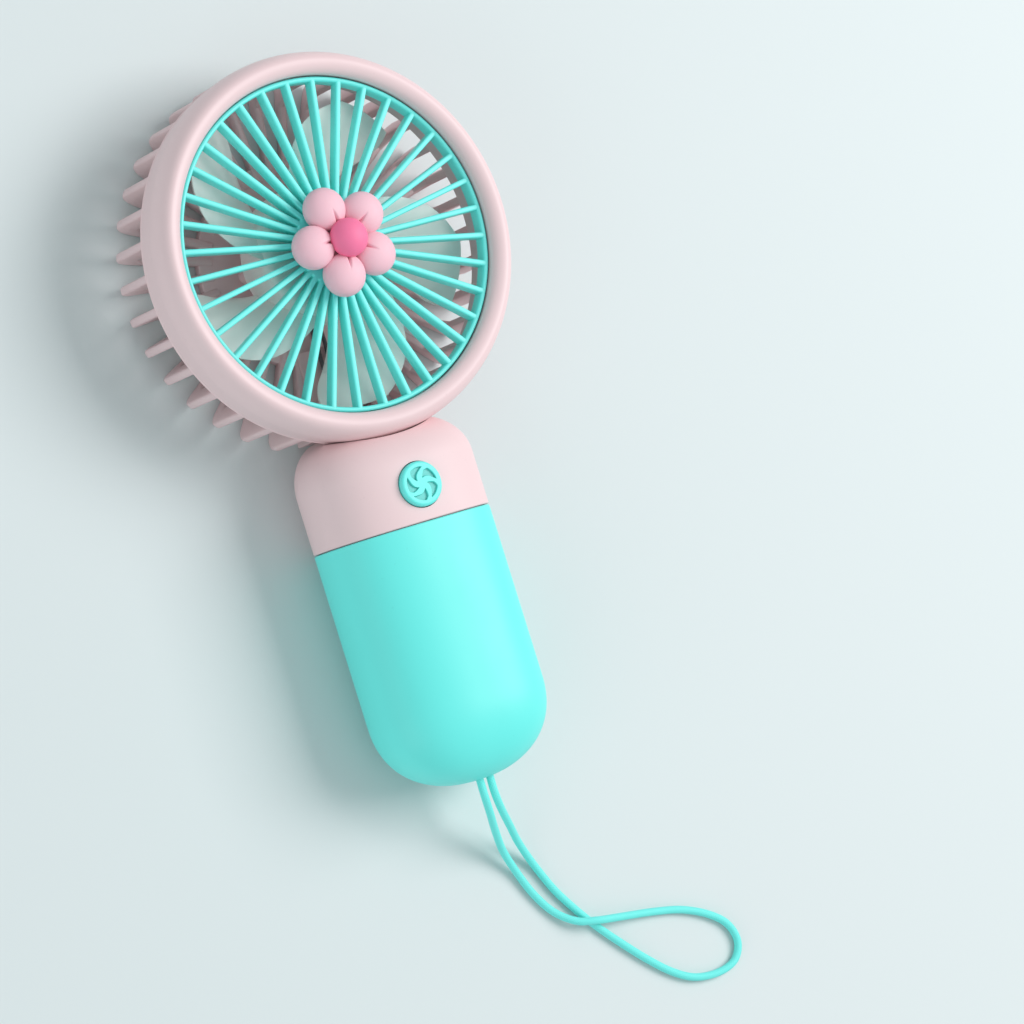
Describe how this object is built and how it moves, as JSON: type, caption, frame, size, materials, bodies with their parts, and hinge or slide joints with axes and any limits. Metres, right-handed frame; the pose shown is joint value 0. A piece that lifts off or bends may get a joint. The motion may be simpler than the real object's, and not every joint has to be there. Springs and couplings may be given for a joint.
{
  "type": "handheld electric fan",
  "caption": "Small round-headed fan with a spoked grille and flower centre, finned back, flat oval handle, push button, charging port and wrist cord.",
  "frame": {"origin": "middle of the fan's footprint without its cord, on the surface it lies on", "axes": "+Z comes out of the grille, +Y runs up the handle to the head, +X is the charging port's side"},
  "size_m": [0.116, 0.2534, 0.0388],
  "materials": {
    "ring_pink": "satin moulded ABS",
    "collar_pink": "satin moulded ABS",
    "grille_teal": "satin moulded ABS",
    "petal_pink": "smooth moulded plastic",
    "centre_pink": "smooth moulded plastic",
    "blade_white": "semi-matt moulded plastic",
    "housing_mauve": "satin moulded ABS",
    "shell_teal": "satin moulded ABS",
    "button_teal": "satin moulded ABS",
    "cord_teal": "braided cord",
    "steel": "zinc-plated steel",
    "core_steel": "stacked laminations",
    "copper": "enamelled copper wire",
    "magnet": "sintered ferrite",
    "bell_white": "moulded nylon",
    "carbon": "pressed carbon",
    "brass": "turned or stamped brass",
    "retainer_grey": "moulded nylon",
    "lead_red": "PVC insulation",
    "lead_grey": "PVC insulation",
    "black_plastic": "moulded plastic",
    "board_green": "solder mask on glass-epoxy board",
    "light_clear": "clear moulded lens",
    "cell_blue": "shrink sleeve on a steel can",
    "pad_foam": "soft foam"
  },
  "bodies": {
    "frame": {"front_ring": "ring_pink", "front_grille": "grille_teal", "flower_petals": "petal_pink", "flower_centre": "centre_pink", "motor_can": "steel", "motor_magnets": "magnet", "motor_end_bell": "bell_white", "motor_brushes": "carbon", "motor_terminals": "brass", "front_bush": "brass", "rear_bush": "brass", "motor_retainer": "retainer_grey", "retainer_screws": "steel", "rear_housing": "housing_mauve", "motor_leads": "lead_grey", "neck_screws": "steel", "collar": "collar_pink", "switch_body": "black_plastic", "circuit_board": "board_green", "board_screws": "steel", "control_chip": "black_plastic", "usb_socket": "steel", "usb_tongue": "black_plastic", "charge_light": "light_clear", "battery_carrier": "bell_white", "carrier_screws": "steel", "battery_cell": "cell_blue", "cell_tabs": "steel", "cell_pad": "pad_foam", "battery_leads": "lead_red", "lower_shell": "shell_teal", "wrist_cord": "cord_teal", "cord_knot": "cord_teal"},
    "rotor": {"impeller": "blade_white", "motor_shaft": "steel", "armature_core": "core_steel", "armature_windings": "copper", "commutator": "copper"},
    "button": {"button_cap": "button_teal", "switch_plunger": "black_plastic"}
  },
  "joints": [
    {"name": "impeller_spin", "type": "hinge", "parent": "frame", "child": "rotor", "pos_m": [0, 0.044, 0.018], "axis": [0, 0, 1], "continuous": true},
    {"name": "button_press", "type": "slide", "parent": "frame", "child": "button", "axis": [0, 0, -1], "range_m": [0, 0.0005], "stiffness_N_per_m": 400}
  ]
}
